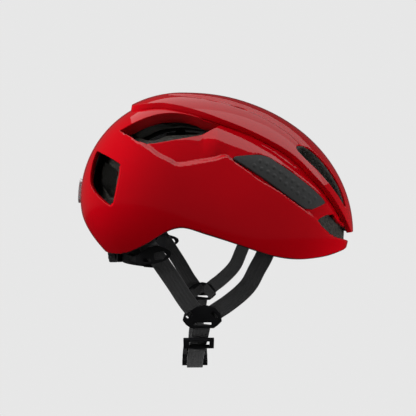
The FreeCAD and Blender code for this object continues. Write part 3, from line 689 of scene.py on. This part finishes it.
def lower_shell():
    sheet = Sheet(SHELL, TURNS, TILTS)
    sheet.trim(crown_level, FOOT_TAG)
    sheet.trim(side_level(SIDE_VENT), VENT_TAG)
    sheet.trim(side_level(REAR_VENT), REAR_TAG)
    sheet.trim(side_level(FRONT_VENT), MOUTH_TAG)
    sheet.trim(side_level(GRIP), GRIP_TAG)
    sheet.trim(lambda p: rim_level(p) + 0.9, RIM_TAG, -1)
    sheet.trim(notch_level, RIM_TAG)
    for crease in (shoulder_level, ledge_level, facet_level):
        sheet.meet(crease, CREASE_TAG)
    walls = {VENT_TAG: edge_profile(0.8, 0.6, 9.0),
             REAR_TAG: rear_vent_profile, MOUTH_TAG: edge_profile(1.0, 0.3, 3.0),
             RIM_TAG: edge_profile(0.9, 0.05, 1.4), GRIP_TAG: edge_profile(0.4, 0.1, 1.6)}
    piece = piece_from("lower_shell_gloss", *sheet.built(lower_height(sheet.p), walls))
    thicken(piece, SKIN)
    return piece


def finished(piece, material, body, slot, *nodes):
    """Material and body of a piece; slot is not used; body is None for one that bends between two."""
    piece.data.materials.clear()
    piece.data.materials.append(material)
    if body is not None:
        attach(piece, body)
    if nodes:
        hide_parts(*nodes)
    return piece


finished(crown_shell(), PAINT, "helmet", "shell_gloss", "crown_shell")
finished(lower_shell(), PAINT, "helmet", "shell_gloss", "lower_shell")

# ---------------------------------------------------------------- foam

def voxel_copy(node, name, voxel_mm):
    """A copy of a frame node's mesh, set up to be meshed again in even squares."""
    piece = bpy.data.objects.new(name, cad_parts[node].data.copy())
    bpy.context.scene.collection.objects.link(piece)
    even = piece.modifiers.new("even", "REMESH")
    even.mode = "VOXEL"
    even.voxel_size = voxel_mm * MM
    return piece


def remeshed(node, name, voxel_mm):
    """An evenly meshed copy of a frame node, with its sharp edges softened."""
    piece = voxel_copy(node, name, voxel_mm)
    soften = piece.modifiers.new("soften", "SMOOTH")
    soften.factor, soften.iterations = 0.5, 3
    apply_modifiers(piece)
    piece.data.shade_smooth()
    return piece


FOAM_VOXEL = 1.3


def foam_liner():
    """The foam follows the shells: where they step in, its outside steps in too."""
    piece = remeshed("eps_liner", "foam_liner", FOAM_VOXEL)
    points = mesh_points(piece) / MM
    depth = -dome_height(SHELL, points)
    near_skin = 1.0 - ramp(2.0, 7.0, depth)
    drop = np.minimum(lower_height(points), 0.0) * near_skin * (depth > -0.5)
    points += dome_normals(SHELL, points) * (drop - 0.25 * near_skin)[:, None]
    move_points(piece, points * MM)
    return piece


finished(foam_liner(), FOAM, "helmet", "foam", "eps_liner")

# ---------------------------------------------------------------- grip pads

GRIP_SPINE = curved([(25, 38.5), (45, 29), (65, 14.5), (82, 3.5)], 12)
STUD_RADIUS, STUD_HEIGHT, STUD_STEP, STUD_ROW = 1.5, 0.55, 6.2, 2.9


def stud_places():
    """Two rows of studs beside the grip's middle line, seen from the side."""
    steps = np.linalg.norm(np.diff(GRIP_SPINE, axis=0), axis=1)
    reach = np.concatenate([[0.0], np.cumsum(steps)])
    places = []
    for number, along in enumerate(np.arange(4.0, reach[-1] - 4.0, STUD_STEP / 2.0)):
        here = np.array([np.interp(along, reach, GRIP_SPINE[:, k]) for k in (0, 1)])
        ahead = np.array([np.interp(along + 1.0, reach, GRIP_SPINE[:, k]) for k in (0, 1)])
        forward = (ahead - here) / np.linalg.norm(ahead - here)
        side = STUD_ROW if number % 2 else -STUD_ROW
        places.append(here + side * np.array([-forward[1], forward[0]]))
    return np.array(places)


def grip_pad(name, side):
    """A rubber inlay with a rolled edge and a field of round studs."""
    sheet = Sheet(SHELL, np.radians(np.linspace(9.0, 72.0, 190)),
                  np.radians(np.linspace(-54.0, -22.0, 112)))
    sheet.trim(lambda p: side_level(GRIP)(p) + 0.7, GRIP_TAG, -1)
    flat = sheet.p[:, [0, 2]]
    rise = 0.45 + 0.25 * ramp(0.0, 6.0, -side_level(GRIP)(sheet.p))
    for place in stud_places():
        near = np.linalg.norm(flat - place, axis=1) / STUD_RADIUS
        rise = rise + STUD_HEIGHT * np.sqrt(np.clip(1.0 - near ** 2, 0.0, 1.0))
    points, faces = sheet.built(rise, {GRIP_TAG: edge_profile(0.6, 0.1, 1.9)})
    if side > 0:
        points = points * np.array([1.0, -1.0, 1.0])
        faces = [face[::-1] for face in faces]
    piece = piece_from(name, points, faces)
    thicken(piece, SKIN)
    return piece


finished(grip_pad("grip_pad_studded_right", -1), RUBBER, "helmet", "soft_rubber", "grip_pad_right")
finished(grip_pad("grip_pad_studded_left", 1), RUBBER, "helmet", "soft_rubber", "grip_pad_left")

# ---------------------------------------------------------------- padded fabric

FILL_PRESSURE = 4.0
FILL_STEPS = 20
# A pad starts smaller than its frame node and swells back, by no more than the cap.
PAD_VOXEL, PAD_SHRINK, PAD_SWELL = 1.7, 0.8, 1.2
SEAM_WIDTH, SEAM_DEPTH = 2.2, 1.5
PAD_FACE = 5.0


def inflated(piece, cap_mm):
    """Cloth skin blown up by its filling, with every point's travel capped."""
    rest = mesh_points(piece)
    cloth = piece.modifiers.new("fill", "CLOTH")
    cloth.settings.use_pressure = True
    cloth.settings.uniform_pressure_force = FILL_PRESSURE
    cloth.settings.effector_weights.gravity = 0.0
    for step in range(1, FILL_STEPS + 1):
        bpy.context.scene.frame_set(step)
    apply_modifiers(piece)
    bpy.context.scene.frame_set(1)
    travel = mesh_points(piece) - rest
    length = np.linalg.norm(travel, axis=1, keepdims=True)
    share = np.minimum(1.0, cap_mm * MM / np.maximum(length, 1e-9))
    move_points(piece, rest + travel * share)


def sewn(piece, seam, width, depth):
    """Pull the fabric in along a sewn line."""
    points = mesh_points(piece)
    near = np.clip(1.0 - line_distance(points / MM, np.asarray(seam, float)) / width, 0.0, 1.0)
    near = near * near * (3.0 - 2.0 * near)
    move_points(piece, points - mesh_normals(piece) * (near * depth * MM)[:, None])


def comfort_pad(node, name, body, seams):
    """A fabric pad blown up by cloth simulation, then sewn down along its seams."""
    piece = voxel_copy(node, name, PAD_VOXEL)
    apply_modifiers(piece)
    move_points(piece, mesh_points(piece) - mesh_normals(piece) * PAD_SHRINK * MM)
    inflated(piece, PAD_SWELL)
    finer = piece.modifiers.new("finer", "SUBSURF")
    finer.levels = finer.render_levels = 1
    apply_modifiers(piece)
    for seam in seams:
        sewn(piece, seam, SEAM_WIDTH, SEAM_DEPTH)
    piece.data.shade_smooth()
    finished(piece, KNIT, body, "pad_fabric", node)


def cavity_line(points, depth):
    """Points seated on the head cavity's wall, moved in towards the head."""
    wall = seated(points, CAVITY)
    return wall - dome_normals(CAVITY, wall) * depth


arc = np.radians(np.arange(-46, 47, 4))
brow_seams = [cavity_line(np.stack([95.0 * np.cos(arc), 95.0 * np.sin(arc), z + 0.0 * arc], 1), PAD_FACE)
              for z in (-17.5, -26.5)]
brow_seams += [cavity_line([(90, y, -12), (90, y, -31)], PAD_FACE) for y in (-45, -22, 0, 22, 45)]
comfort_pad("brow_pad", "brow_pad_sewn", "helmet", brow_seams)
centre_seams = [cavity_line([(x, y, 70) for x in range(-68, 56, 6)], PAD_FACE) for y in (-5, 5)]
comfort_pad("crown_pad_centre", "crown_pad_centre_sewn", "helmet", centre_seams)
for side, word in ((-1, "right"), (1, "left")):
    seam = cavity_line([(x, side * 40.5, 60) for x in range(-44, 34, 6)], PAD_FACE)
    comfort_pad("crown_pad_" + word, "crown_pad_sewn_" + word, "helmet", [seam])
    arc = np.radians(np.arange(16.0, 44.0, 3.0))
    seam = np.stack([-21.0 - 66.7 * np.cos(arc), side * 66.7 * np.sin(arc), -41.0 + 0.0 * arc], 1)
    comfort_pad("nape_pad_" + word, "nape_pad_sewn_" + word, "cradle", [seam])

# ---------------------------------------------------------------- webbing

WEB_WIDTH = 15.0
WEB_THICK = 1.5
WEB_STEPS = 31
FRONT_STRAP = [(40.6, -77, -29), (40, -77, -33), (36.2, -77, -42), (31.5, -72.8, -52),
               (25.9, -69.2, -64), (18.5, -66.5, -73), (7.5, -63.7, -82.5), (0.5, -62.2, -87.5),
               (-4.5, -60, -91.5), (-9.5, -58.3, -97)]
REAR_STRAP = [(-61.5, -75.3, -25), (-60.5, -75, -31), (-57, -72.5, -36), (-51.5, -71.3, -43.5),
              (-38, -67.5, -64), (-29.5, -64.4, -78), (-23.5, -62.4, -86.5), (-19.5, -60, -91.5),
              (-15.5, -58, -97)]
CHIN_STRAP = [(-14.5, -61.4, -100.5), (-15, -60.5, -104), (-16.5, -55.5, -113), (-18, -50, -121),
              (-20.3, -40, -133), (-20.8, -33, -139.6), (-21, -27, -142.2)]
# Round the buckle's bar and back up on the outside, as far as the free end.
SOCKET_LOOP = [(-21, -23.5, -142.3), (-21, -21.6, -143.9), (-21, -21.3, -146.5), (-21, -22.6, -149.4),
               (-21, -26.3, -149.6), (-21, -31, -145.6), (-20.6, -36.2, -140.4), (-19.9, -42.6, -133.2),
               (-18.7, -48.6, -125.6)]
PLUG_LOOP = [(-21, -20.4, -142.2), (-21, -17.5, -143.6), (-21, -17, -146.2), (-21, -18.2, -149.2),
             (-21, -22.3, -150), (-21, -28.6, -147), (-20.9, -34.4, -142.1), (-20.3, -41, -134.7)]


def web_section():
    """Outline across the webbing: nearly flat faces between rounded selvedges."""
    half, deep = WEB_WIDTH / 2.0, WEB_THICK / 2.0
    across = np.linspace(-half + 0.5, half - 0.5, WEB_STEPS)
    roll = deep * (0.95 + 0.05 * np.cos(2.0 * math.pi * across / 3.0))
    top = list(zip(across, roll))
    edge = [(half - 0.1, deep * 0.7), (half, 0.0), (half - 0.1, -deep * 0.7)]
    return top + edge + [(-a, -b) for a, b in top] + [(-a, -b) for a, b in edge]


def web_strip(name, line, facing=None, across=None):
    """A strip of webbing along a line in space, with its length and width as UV in mm."""
    path = curved(line, 10)
    along = np.gradient(path, axis=0)
    along /= np.linalg.norm(along, axis=1, keepdims=True)
    guide = np.array(across if across is not None else facing, float)
    square = guide - (along @ guide)[:, None] * along
    square /= np.linalg.norm(square, axis=1, keepdims=True)
    if across is not None:
        wide, deep = square, np.cross(square, along)
    else:
        wide, deep = np.cross(along, square), square
    reach = np.concatenate([[0.0], np.cumsum(np.linalg.norm(np.diff(path, axis=0), axis=1))])
    section = web_section()
    size = len(section)
    points, uv = [], []
    for k, middle in enumerate(path):
        for a, b in section:
            points.append(middle + wide[k] * a + deep[k] * b)
            uv.append((reach[k], a))
    faces = []
    for k in range(len(path) - 1):
        for j in range(size):
            after = (j + 1) % size
            faces.append((k * size + j, k * size + after, (k + 1) * size + after,
                          (k + 1) * size + j))
    faces.append(tuple(range(size))[::-1])
    faces.append(tuple((len(path) - 1) * size + j for j in range(size)))
    piece = piece_from(name, np.array(points), faces)
    layer = piece.data.uv_layers.new(name="weave")
    for loop in piece.data.loops:
        layer.data[loop.index].uv = uv[loop.vertex_index]
    return piece


def other_side(line):
    return [(x, -y, z) for x, y, z in line]


for side, word in ((-1, "right"), (1, "left")):
    for label, line in (("front", FRONT_STRAP), ("rear", REAR_STRAP)):
        line = line if side < 0 else other_side(line)
        piece = web_strip(f"{label}_strap_webbing_{word}", line, facing=(0, side, 0))
        finished(piece, WEBBING, None, "webbing", f"{label}_strap_{word}")
        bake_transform(piece)
chin_right = web_strip("chin_strap_webbing_right", CHIN_STRAP + SOCKET_LOOP, across=(1, 0, 0))
finished(chin_right, WEBBING, "chin_harness", "webbing", "chin_strap_right")
chin_left = web_strip("chin_strap_webbing_left", other_side(CHIN_STRAP + PLUG_LOOP), across=(1, 0, 0))
finished(chin_left, WEBBING, None, "webbing", "chin_strap_left")
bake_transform(chin_left)

# ------------------------------------------------ moulded pieces with rounded edges

MOULDED = {
    "cradle_arm_right": (CRADLE, "cradle", "cradle_plastic", 0.5),
    "cradle_arm_left": (CRADLE, "cradle", "cradle_plastic", 0.5),
    "cradle_yoke": (CRADLE, "cradle", "cradle_plastic", 0.5),
    "dial_housing_cover": (CRADLE, "cradle", "cradle_plastic", 0.4),
    "strap_divider_right": (BUCKLE, "chin_harness", "buckle_plastic", 0.35),
    "strap_divider_left": (BUCKLE, "chin_harness", "buckle_plastic", 0.35),
    "adjuster_ring": (BUCKLE, "chin_harness", "buckle_plastic", 0.35),
    "strap_keeper": (RUBBER, "chin_harness", "soft_rubber", 0.3),
    "buckle_socket": (BUCKLE, "chin_harness", "buckle_plastic", 0.4),
    "buckle_plug": (BUCKLE, "buckle_plug", "buckle_plastic", 0.4),
    "prong_rear": (BUCKLE, "prong_rear", "buckle_plastic", 0.35),
    "prong_front": (BUCKLE, "prong_front", "buckle_plastic", 0.35),
    "fit_dial": (RUBBER, "dial", "soft_rubber", 0.35),
    "strap_guides": (TRIM, "helmet", "trim_plastic", 0.45),
}
for node, (material, body, slot, voxel_mm) in MOULDED.items():
    finished(remeshed(node, node + "_moulded", voxel_mm), material, body, slot, node)


TRIM_TUCK = 1.0
TRIM_VOXEL = 0.45


def tucked_trim():
    """The rim's edging, set in under the rolled edge of the shell."""
    piece = remeshed("rim_trim", "rim_trim_tucked", TRIM_VOXEL)
    points = mesh_points(piece) / MM
    points = points - dome_normals(SHELL, points) * TRIM_TUCK + np.array([0.0, 0.0, TRIM_TUCK / 2.0])
    move_points(piece, points * MM)
    return piece


finished(tucked_trim(), TRIM, "helmet", "trim_plastic", "rim_trim")

# ------------------------------------------------ frame pieces that only need a finish

NODE_FINISH = {
    "rear_reflector": REFLECTOR, "pad_hook_dots": HOOKS,
    "pivot_socket_right": CRADLE, "pivot_socket_left": CRADLE, "click_spring": SPRING,
    "dial_pinion": RACK, "dial_screw": STEEL, "rack_right": RACK, "rack_left": RACK,
}
for node, material in NODE_FINISH.items():
    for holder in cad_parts[node].material_slots:
        holder.material = material

# ---------------------------------------------------------------- stage, light, camera

scene = bpy.context.scene
scene.view_settings.view_transform = "Standard"


def softbox(name, place, aim, size, power):
    """A soft light for the matt side of things. It leaves no shape in the paint's gloss."""
    holder = area_light(name, place, size, power)
    holder.visible_glossy = False
    direction = Vector(aim) - Vector(place)
    holder.rotation_euler = direction.to_track_quat("-Z", "Y").to_euler()


def mirror_panel(name, place, size, power):
    """A panel that faces straight down and shows only as a reflection."""
    holder = area_light(name, place, size, power)
    holder.visible_diffuse = False


def area_light(name, place, size, power):
    lamp = bpy.data.lights.new(name, "AREA")
    lamp.shape = "RECTANGLE"
    lamp.size, lamp.size_y = size
    lamp.energy = power
    holder = bpy.data.objects.new(name, lamp)
    holder.location = place
    scene.collection.objects.link(holder)
    return holder


def pale_floor():
    """A pale floor that lights from below and that the paint doesn't mirror."""
    mesh = bpy.data.meshes.new("floor")
    reach, near, level = 6.0, -0.1, -0.32
    mesh.from_pydata([(-reach, near, level), (reach, near, level), (reach, reach, level),
                      (-reach, reach, level)], [], [(0, 1, 2, 3)])
    floor = bpy.data.objects.new("floor", mesh)
    scene.collection.objects.link(floor)
    finish = Finish("pale_floor", (0.0, 0.0, 0.0), 1.0)
    finish.set("Specular IOR Level", 0.0)
    finish.set("Emission Color", (0.8, 0.8, 0.8, 1.0))
    finish.set("Emission Strength", 1.0)
    mesh.materials.append(finish.material)
    floor.visible_glossy = False


def pale_room():
    """Pale to the eye all round. As light, pale above the horizon and dark below it."""
    world = bpy.data.worlds.new("room")
    world.use_nodes = True
    tree = world.node_tree
    room = tree.nodes["Background"]
    seen = tree.nodes.new("ShaderNodeBackground")
    seen.inputs["Color"].default_value = (0.8, 0.8, 0.8, 1.0)
    parts = tree.nodes.new("ShaderNodeSeparateXYZ")
    tree.links.new(tree.nodes.new("ShaderNodeTexCoord").outputs["Generated"], parts.inputs[0])
    fade = tree.nodes.new("ShaderNodeMapRange")
    fade.inputs["From Min"].default_value = -0.16
    fade.inputs["From Max"].default_value = -0.08
    fade.inputs["To Min"].default_value = 0.01
    fade.inputs["To Max"].default_value = 0.06
    tree.links.new(parts.outputs["Z"], fade.inputs["Value"])
    tree.links.new(fade.outputs["Result"], room.inputs["Color"])
    path = tree.nodes.new("ShaderNodeLightPath")
    mix = tree.nodes.new("ShaderNodeMixShader")
    tree.links.new(path.outputs["Is Camera Ray"], mix.inputs[0])
    tree.links.new(room.outputs[0], mix.inputs[1])
    tree.links.new(seen.outputs[0], mix.inputs[2])
    tree.links.new(mix.outputs[0], tree.nodes["World Output"].inputs["Surface"])
    scene.world = world


def camera():
    lens = bpy.data.cameras.new("camera")
    lens.sensor_width = 36.0
    lens.lens = 39.81
    holder = bpy.data.objects.new("camera", lens)
    holder.location = (-0.019, -0.460, 0.0)
    holder.rotation_euler = (math.radians(90.0), 0.0, math.radians(-1.37))
    scene.collection.objects.link(holder)
    scene.camera = holder


pale_floor()
pale_room()
CENTRE = (0.0, 0.0, 0.02)
mirror_panel("overhead_near", (0.85, -0.11, 1.0), (3.0, 0.62), 7.0)
mirror_panel("overhead_far", (0.85, 0.5, 1.0), (3.0, 0.6), 4.0)
softbox("rear_side", (-1.1, -0.4, 0.9), CENTRE, (1.1, 1.1), 31.0)
softbox("front_side", (1.3, -0.15, -0.3), CENTRE, (0.9, 0.9), 20.0)
softbox("far_side", (0.2, 1.1, 0.4), CENTRE, (1.2, 1.0), 10.0)
camera()
